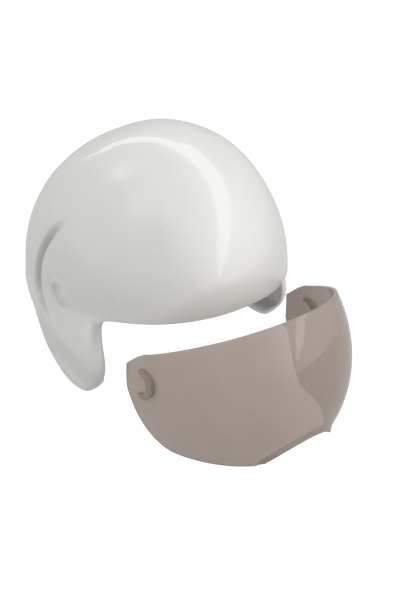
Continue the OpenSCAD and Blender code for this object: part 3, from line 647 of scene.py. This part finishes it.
def make_liner():
    """The foam liner, with shallow vents down its inner face."""
    crown = (LINER_R + HEAD["crown"]) / 2
    bearings = [360 * j / LINER_COLS for j in range(LINER_COLS)]
    heights = [mix(LINER_FRONT_Z, LINER_BACK_Z, ease(folded(a) / LINER_FALL_A)) for a in bearings]
    rims = [math.degrees(z / crown) for z in heights]

    def outer(j, f):
        return liner_point(bearings[j], mix(rims[j], 90, f))

    def inner(j, f):
        a, t = bearings[j], mix(rims[j], 90, f)
        half = VENT_STEP_A / 2
        aside = math.radians(abs((a + half) % VENT_STEP_A - half)) * VENT_R * cos(t)
        cut = VENT_DEPTH * (1 - ease((aside - VENT_HALF_W) / VENT_WALL))
        cut *= ease((t - VENT_LOW_T) / VENT_LOW_FADE) * ease((VENT_HIGH_T - t) / VENT_HIGH_FADE)
        p = head_point(a, t)
        return p * (1 + cut / max(p.length, 1))

    columns = range(LINER_COLS)
    points = [liner_point(0, 90)]
    points += [outer(j, 1 - i / LINER_ROWS) for i in range(1, LINER_ROWS) for j in columns]
    for i in range(LIP_ROWS + 1):
        s = i / LIP_ROWS
        lift = LIP_RISE * (1 - math.sqrt(max(0, 1 - (2 * s - 1) ** LIP_POWER)))
        points += [outer(j, 0).lerp(inner(j, 0), s) + Vector((0, 0, lift)) for j in columns]
    points += [inner(j, i / LINER_ROWS) for i in range(1, LINER_ROWS) for j in columns]
    points.append(head_point(0, 90))
    return build("foam_liner", points, closed_faces((len(points) - 2) // LINER_COLS, LINER_COLS))


def band_frame(p, rear=False):
    """From the headband's own frame to the hat's; rear shifts to the axis of its round back."""
    x, y, z = p
    y += BAND["half_side"] if rear else 0
    c, s = cos(BAND["tilt"]), sin(BAND["tilt"])
    return (x, BAND["mid_y"] + y * c + z * s, BAND["mid_z"] - y * s + z * c)


def make_pad(name, place, height, long_steps, cross_steps, channels):
    """A padded strip with sewn channels across it; place(u, v, h) stands h off its seat."""
    points, back = [], []
    for i in range(long_steps + 1):
        u = -math.cos(math.pi * i / long_steps) if channels == 0 else mix(-1, 1, i / long_steps)
        for j in range(cross_steps + 1):
            v = -math.cos(math.pi * j / cross_steps)
            body = math.sqrt(max(0.0, (1 - abs(u) ** PAD_LONG_POWER) * (1 - abs(v) ** PAD_CROSS_POWER)))
            seam = 1.0
            if channels:
                seam = mix(SEAM_LEVEL, 1, abs(math.sin(math.pi * channels * (u + 1) / 2)) ** SEAM_POWER)
            hem = 1 - HEM_DEPTH * hump(abs(v), HEM_AT, HEM_W)
            points.append(place(u, v, height * (PAD_EDGE + PAD_SWELL * body * seam * hem)))
            back.append(place(u, v, PAD_BACK))
    rows, cols = long_steps + 1, cross_steps + 1
    skin = rows * cols

    def at(face, i, j):
        return face * skin + i * cols + j

    faces = grid_faces(rows, cols, wrap=False)
    faces += [tuple(skin + k for k in reversed(f)) for f in grid_faces(rows, cols, wrap=False)]
    ring = [(i, 0) for i in range(rows)] + [(rows - 1, j) for j in range(1, cols)]
    ring += [(i, cols - 1) for i in range(rows - 2, -1, -1)] + [(0, j) for j in range(cols - 2, 0, -1)]
    faces += [(at(0, *p), at(0, *q), at(1, *q), at(1, *p)) for p, q in zip(ring, ring[1:] + ring[:1])]
    return build(name, points + back, faces)


def brow_place(u, v, h):
    r, a = PAD_SEAT - h, 270 - BROW_HALF_A * u
    return band_frame((r * cos(a), r * sin(a) - BAND["half_side"], v * (BAND["h"] / 2 + BROW_OVER)))


def nape_place(u, v, h):
    r, a = PAD_SEAT - h, 90 - NAPE_HALF_A * u
    return band_frame((r * cos(a), r * sin(a), v * (BAND["h"] / 2 + NAPE_OVER)), rear=True)


def crown_place(u, v, h):
    x, y = -u * math.sqrt(1 - v * v / 2), v * math.sqrt(1 - u * u / 2)
    return head_point(math.degrees(math.atan2(x, -y)), 90 - CROWN_HALF_T * math.hypot(x, y), CROWN_GAP + h)


# Materials

def material(name, color, rough):
    m = bpy.data.materials.new(name)
    m.use_nodes = True
    tree = m.node_tree
    shader = tree.nodes["Principled BSDF"]
    shader.inputs["Base Color"].default_value = (*color, 1)
    shader.inputs["Roughness"].default_value = rough
    return m, tree, shader


def add(tree, kind, **values):
    """A node with values set on its sockets."""
    node = tree.nodes.new(kind)
    for socket, value in values.items():
        node.inputs[socket].default_value = value
    return node


def arith(tree, operation, first, second):
    """A maths node on a socket and a number or another socket."""
    node = add(tree, "ShaderNodeMath")
    node.operation = operation
    tree.links.new(first, node.inputs[0])
    if isinstance(second, (int, float)):
        node.inputs[1].default_value = second
    else:
        tree.links.new(second, node.inputs[1])
    return node.outputs["Value"]


def coords(tree, scale):
    """Object coordinates, scaled by one number or by one for each axis."""
    place = add(tree, "ShaderNodeTexCoord")
    scales = scale if isinstance(scale, tuple) else (scale, scale, scale)
    mapping = add(tree, "ShaderNodeMapping", Scale=scales)
    tree.links.new(place.outputs["Object"], mapping.inputs["Vector"])
    return mapping.outputs["Vector"]


def noise(tree, scale, detail):
    """A noise in object coordinates."""
    node = add(tree, "ShaderNodeTexNoise", Scale=1.0, Detail=detail)
    tree.links.new(coords(tree, scale), node.inputs["Vector"])
    return node.outputs["Fac"]


def tinge(color, share):
    """A colour made darker or lighter by a share of itself."""
    return tuple(min(1, c * share) for c in color)


def ramp(tree, source, low, high, start, end):
    """A colour that runs from low to high between two levels of a source."""
    node = add(tree, "ShaderNodeValToRGB")
    for element, position, color in zip(node.color_ramp.elements, (start, end), (low, high)):
        element.position = position
        element.color = (*color, 1)
    tree.links.new(source, node.inputs["Fac"])
    return node.outputs["Color"]


def span(tree, source, low, high):
    """A value that runs from low to high with a source."""
    node = add(tree, "ShaderNodeMapRange")
    node.inputs["To Min"].default_value = low
    node.inputs["To Max"].default_value = high
    tree.links.new(source, node.inputs["Value"])
    return node.outputs["Result"]


def bump(tree, shader, height, strength, distance):
    node = add(tree, "ShaderNodeBump", Strength=strength, Distance=distance)
    tree.links.new(height, node.inputs["Height"])
    tree.links.new(node.outputs["Normal"], shader.inputs["Normal"])


def moulded(name, color, rough, grain, depth, spread=0.06, coat=0.0):
    """Moulded plastic: a fine grain, uneven gloss and a slight mottle."""
    m, tree, shader = material(name, color, rough)
    fine = noise(tree, scale=grain, detail=3.0)
    broad = noise(tree, scale=28, detail=2.0)
    tone = ramp(tree, broad, tinge(color, 1 - spread), tinge(color, 1 + spread * 0.6), start=0.3, end=0.7)
    tree.links.new(tone, shader.inputs["Base Color"])
    tree.links.new(span(tree, broad, low=rough * 0.8, high=rough * 1.2), shader.inputs["Roughness"])
    bump(tree, shader, fine, strength=0.25, distance=depth)
    shader.inputs["Coat Weight"].default_value = coat
    shader.inputs["Coat Roughness"].default_value = 0.06
    return m


def bead_foam(name, color):
    """Bead foam: pressed cells with darker seams."""
    m, tree, shader = material(name, color, rough=0.75)
    cells = add(tree, "ShaderNodeTexVoronoi", Scale=1.0)
    cells.feature = "DISTANCE_TO_EDGE"
    tree.links.new(coords(tree, scale=240), cells.inputs["Vector"])
    tone = ramp(tree, cells.outputs["Distance"], tinge(color, 0.72), color, start=0.0, end=0.14)
    tree.links.new(tone, shader.inputs["Base Color"])
    bump(tree, shader, cells.outputs["Distance"], strength=0.5, distance=0.0006)
    return m


def knit(name, color):
    """Brushed knit: crossed ribs with a soft sheen and specks."""
    m, tree, shader = material(name, color, rough=0.85)
    where = coords(tree, scale=1.0)
    slanted = add(tree, "ShaderNodeTexWave", Scale=260.0, Distortion=1.2)
    slanted.bands_direction = "DIAGONAL"
    upright = add(tree, "ShaderNodeTexWave", Scale=310.0, Distortion=1.5)
    upright.bands_direction = "X"
    specks = add(tree, "ShaderNodeTexNoise", Scale=900.0, Detail=2.0)
    for texture in (slanted, upright, specks):
        tree.links.new(where, texture.inputs["Vector"])
    ribs = arith(tree, "MULTIPLY", slanted.outputs["Fac"], upright.outputs["Fac"])
    tone = ramp(tree, specks.outputs["Fac"], tinge(color, 0.6), tinge(color, 1.5), start=0.35, end=0.65)
    tree.links.new(tone, shader.inputs["Base Color"])
    shader.inputs["Sheen Weight"].default_value = 0.4
    shader.inputs["Sheen Roughness"].default_value = 0.45
    bump(tree, shader, ribs, strength=0.6, distance=0.0004)
    return m


def steel(name, color):
    """Turned steel: fine brushed streaks."""
    m, tree, shader = material(name, color, rough=0.32)
    streak = noise(tree, scale=(3000, 400, 3000), detail=4.0)
    tree.links.new(span(tree, streak, low=0.22, high=0.42), shader.inputs["Roughness"])
    shader.inputs["Metallic"].default_value = 1.0
    bump(tree, shader, streak, strength=0.2, distance=0.00005)
    return m


def tinted(name, color):
    """Clear tinted plastic with faint flow marks."""
    m, tree, shader = material(name, color, rough=0.03)
    flow = noise(tree, scale=22, detail=2.0)
    tone = ramp(tree, flow, tinge(color, 0.96), tinge(color, 1.03), start=0.3, end=0.7)
    tree.links.new(tone, shader.inputs["Base Color"])
    shader.inputs["Transmission Weight"].default_value = 0.45
    shader.inputs["IOR"].default_value = 1.5
    bump(tree, shader, flow, strength=0.04, distance=0.0004)
    return m


def with_painted_shade(m, share):
    """Paints shade into a material: darkens its colour by up to a share where the mesh's painted-shade
    attribute says so.
    """
    tree = m.node_tree
    shader = tree.nodes["Principled BSDF"]
    shade_layer = add(tree, "ShaderNodeAttribute")
    shade_layer.attribute_name = "painted_shade"
    unshaded = arith(tree, "ADD", arith(tree, "MULTIPLY", shade_layer.outputs["Fac"], -share), 1.0)
    tone = add(tree, "ShaderNodeVectorMath")
    tone.operation = "SCALE"
    link = shader.inputs["Base Color"].links[0]
    tree.links.new(link.from_socket, tone.inputs["Vector"])
    tree.links.new(unshaded, tone.inputs["Scale"])
    tree.links.new(tone.outputs["Vector"], shader.inputs["Base Color"])
    return m


WHITE = moulded("shell_white", (0.80, 0.795, 0.765), rough=0.3, grain=900, depth=0.00002, spread=0.02,
                coat=1.0)
SLOTS = dict(
    # The shell's white carries painted shade: darker by up to 0.3 where the mesh's painted-shade share is set.
    shell_white=with_painted_shade(WHITE, share=0.3),
    visor_tint=tinted("visor_tint", (0.56, 0.465, 0.415)),
    liner_foam=bead_foam("liner_foam", (0.62, 0.63, 0.64)),
    pad_cloth=knit("pad_cloth", (0.035, 0.037, 0.043)),
    band_grey=moulded("band_grey", (0.085, 0.09, 0.10), rough=0.45, grain=2600, depth=0.00004),
    fitting_black=moulded("fitting_black", (0.018, 0.018, 0.02), rough=0.42, grain=3200, depth=0.00005),
    steel=steel("steel", (0.55, 0.56, 0.58)),
)


def dress(obj, slot):
    obj.data.materials.clear()
    obj.data.materials.append(SLOTS[slot])


# Assembly

def put(obj, body, slot, *stands_for):
    """Gives a piece its material and its body, and hides the nodes that it takes the place of."""
    dress(obj, slot)
    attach(obj, body)
    if stands_for:
        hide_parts(*stands_for)


for part in frame["record"]["subparts"]:
    dress(nodes[part["node"]], part["material_slot"])

SIDES = ((1, "left"), (-1, "right"))
put(make_shell(), "helmet", "shell_white", "outer_shell")
for side, name in SIDES:
    put(make_boss("boss_" + name, side), "helmet", "shell_white")

put(make_lens(), "visor", "visor_tint", "visor_lens")
for side, name in SIDES:
    put(make_hook("hook_" + name, side), "visor", "visor_tint")

put(make_liner(), "helmet", "liner_foam", "eps_liner")
# Name, place, height, steps along and across, sewn channels, and the node that the pad takes the place of
PADS = (("brow_cushion", brow_place, 5, 96, 20, 7, "brow_pad"),
        ("nape_cushion", nape_place, 5, 60, 24, 3, "nape_pad"),
        ("crown_cushion", crown_place, 7, 40, 40, 0, "crown_pad"))
for name, place, height, long_steps, cross_steps, channels, stands_for in PADS:
    pad = make_pad(name, place, height, long_steps, cross_steps, channels)
    put(pad, "helmet", "pad_cloth", stands_for)


# Stage: floor, light and camera, in metres and degrees

FLOOR_Z, FLOOR_HALF = -0.5, 6.0
FLOOR_GREY, FLOOR_ROUGH, FLOOR_GLOW = (0.35, 0.35, 0.35), 0.9, 0.8
# Share of the white background that the shell and the lens mirror, from the floor and from the room
FLOOR_MIRRORED, ROOM_MIRRORED = 0.35, 0.1
ROOM = 0.54
# Soft parts of the room's light: azimuth and elevation, tightness, strength
ROOM_LOBES = (((32, 8), 4, 1.4), ((-120, 15), 4, 0.45), ((-151.7, 54.6), 70, 1.8), ((-82.8, 48.5), 20, 1.1))
LIT = Vector((0, -0.02, 0.05))
# The bow of lamps lies on a cone about its pole; it sways to one side and narrows towards its ends
BOW_POLE, BOW_ANGLE, BOW_FAR = (-77.8, 34.2), 91.1, 1.6
BOW_FROM, BOW_TO, BOW_LAMPS, BOW_OVERLAP = -87, 66, 15, 1.04
BOW_WIDE, BOW_NARROW, BOW_START_A, BOW_STOP_A = 0.25, 0.3, 16, 28
BOW_SWAY, BOW_WAVE = 2.5, 2.4
BOW_LIGHT = 1.6


def toward(azimuth, elevation):
    """Direction as seen from the hat; the azimuth runs from its front to the wearer's left."""
    return Vector((sin(azimuth) * cos(elevation), -cos(azimuth) * cos(elevation), sin(elevation)))


def emitter(name, energy, size, place, along):
    """A rectangular lamp that faces the hat; along is the direction of its length."""
    light = bpy.data.lights.new(name, "AREA")
    light.shape = "RECTANGLE"
    light.size, light.size_y = size
    light.energy = energy
    obj = bpy.data.objects.new(name, light)
    back = (place - LIT).normalized()
    side = along.cross(back).cross(back).normalized() * -1
    turn = Matrix((side, back.cross(side), back)).transposed()
    obj.matrix_world = Matrix.Translation(place) @ turn.to_4x4()
    bpy.context.scene.collection.objects.link(obj)


def make_bow():
    """A bow of strip lamps, which the dome mirrors as a crescent."""
    pole = toward(*BOW_POLE)
    up = toward(BOW_POLE[0] + 180, 90 - BOW_POLE[1])
    across = pole.cross(up)
    step = (BOW_TO - BOW_FROM) / BOW_LAMPS
    length = BOW_FAR * math.radians(step) * BOW_OVERLAP
    for k in range(BOW_LAMPS):
        turn = BOW_FROM + (k + 0.5) * step
        lean = BOW_ANGLE - BOW_SWAY * sin(BOW_WAVE * turn)
        out = pole * cos(lean) + (up * cos(turn) + across * sin(turn)) * sin(lean)
        inside = ease((turn - BOW_FROM) / BOW_START_A) * ease((BOW_TO - turn) / BOW_STOP_A)
        wide = BOW_WIDE * mix(BOW_NARROW, 1, inside)
        emitter("bow_%d" % k, BOW_LIGHT * math.pi * length * wide, (length, wide), LIT + out * BOW_FAR,
                across * cos(turn) - up * sin(turn))


def seen_by_eye(tree, mirrored):
    """1 for rays from the camera, straight or through the lens, and a share of that for mirrored rays."""
    path = add(tree, "ShaderNodeLightPath")
    straight = arith(tree, "MAXIMUM", path.outputs["Is Camera Ray"], path.outputs["Is Transmission Ray"])
    return arith(tree, "MAXIMUM", straight, arith(tree, "MULTIPLY", path.outputs["Is Glossy Ray"], mirrored))


def make_floor():
    """A grey floor, which the camera sees as white."""
    corners = [(x * FLOOR_HALF / MM, y * FLOOR_HALF / MM, FLOOR_Z / MM)
               for x, y in ((-1, -1), (1, -1), (1, 1), (-1, 1))]
    floor = build("floor", corners, [(0, 1, 2, 3)], smooth=False)
    m, tree, shader = material("floor_white", FLOOR_GREY, FLOOR_ROUGH)
    shader.inputs["Emission Color"].default_value = (1, 1, 1, 1)
    glow = arith(tree, "MULTIPLY", seen_by_eye(tree, FLOOR_MIRRORED), FLOOR_GLOW)
    tree.links.new(glow, shader.inputs["Emission Strength"])
    floor.data.materials.append(m)


def make_world():
    """A room with soft light from several sides, and white where the camera sees it."""
    world = bpy.data.worlds.new("studio")
    bpy.context.scene.world = world
    world.use_nodes = True
    tree = world.node_tree
    place = add(tree, "ShaderNodeTexCoord")
    aim = add(tree, "ShaderNodeVectorMath")
    aim.operation = "NORMALIZE"
    tree.links.new(place.outputs["Generated"], aim.inputs[0])
    total = ROOM
    for where, tight, strength in ROOM_LOBES:
        facing = add(tree, "ShaderNodeVectorMath")
        facing.operation = "DOT_PRODUCT"
        facing.inputs[1].default_value = toward(*where)
        tree.links.new(aim.outputs["Vector"], facing.inputs[0])
        level = facing.outputs["Value"]
        for operation, value in (("MAXIMUM", 0.0), ("POWER", tight), ("MULTIPLY", strength)):
            level = arith(tree, operation, level, value)
        total = arith(tree, "ADD", level, total)
    room = tree.nodes["Background"]
    room.inputs["Color"].default_value = (1, 1, 1, 1)
    tree.links.new(total, room.inputs["Strength"])
    white = add(tree, "ShaderNodeBackground", Color=(1, 1, 1, 1), Strength=1.0)
    blend = add(tree, "ShaderNodeMixShader")
    tree.links.new(seen_by_eye(tree, ROOM_MIRRORED), blend.inputs["Fac"])
    tree.links.new(room.outputs["Background"], blend.inputs[1])
    tree.links.new(white.outputs["Background"], blend.inputs[2])
    tree.links.new(blend.outputs["Shader"], tree.nodes["World Output"].inputs["Surface"])


CAM_AZIMUTH, CAM_ELEVATION, CAM_DISTANCE, SENSOR_WIDTH = -41.0, 27.4, 2.2, 36.0
PIXELS_HIGH, PIXELS_WIDE = 600, 400
PIXELS_PER_METRE = 1047.0
ORIGIN_PIXEL = (151.2, 259.1)


def make_camera():
    """The photograph's view, with the origin at its pixel."""
    data = bpy.data.cameras.new("camera")
    data.sensor_width = SENSOR_WIDTH
    data.sensor_fit = "AUTO"
    data.lens = PIXELS_PER_METRE * CAM_DISTANCE / PIXELS_HIGH * SENSOR_WIDTH
    data.shift_x = (PIXELS_WIDE / 2 - ORIGIN_PIXEL[0]) / PIXELS_HIGH
    data.shift_y = (ORIGIN_PIXEL[1] - PIXELS_HIGH / 2) / PIXELS_HIGH
    cam = bpy.data.objects.new("camera", data)
    back = toward(CAM_AZIMUTH, CAM_ELEVATION)
    cam.location = back * CAM_DISTANCE
    cam.rotation_euler = (-back).to_track_quat("-Z", "Y").to_euler()
    bpy.context.scene.collection.objects.link(cam)
    bpy.context.scene.camera = cam


make_floor()
make_world()
make_camera()
make_bow()
bpy.context.scene.view_settings.view_transform = "Standard"
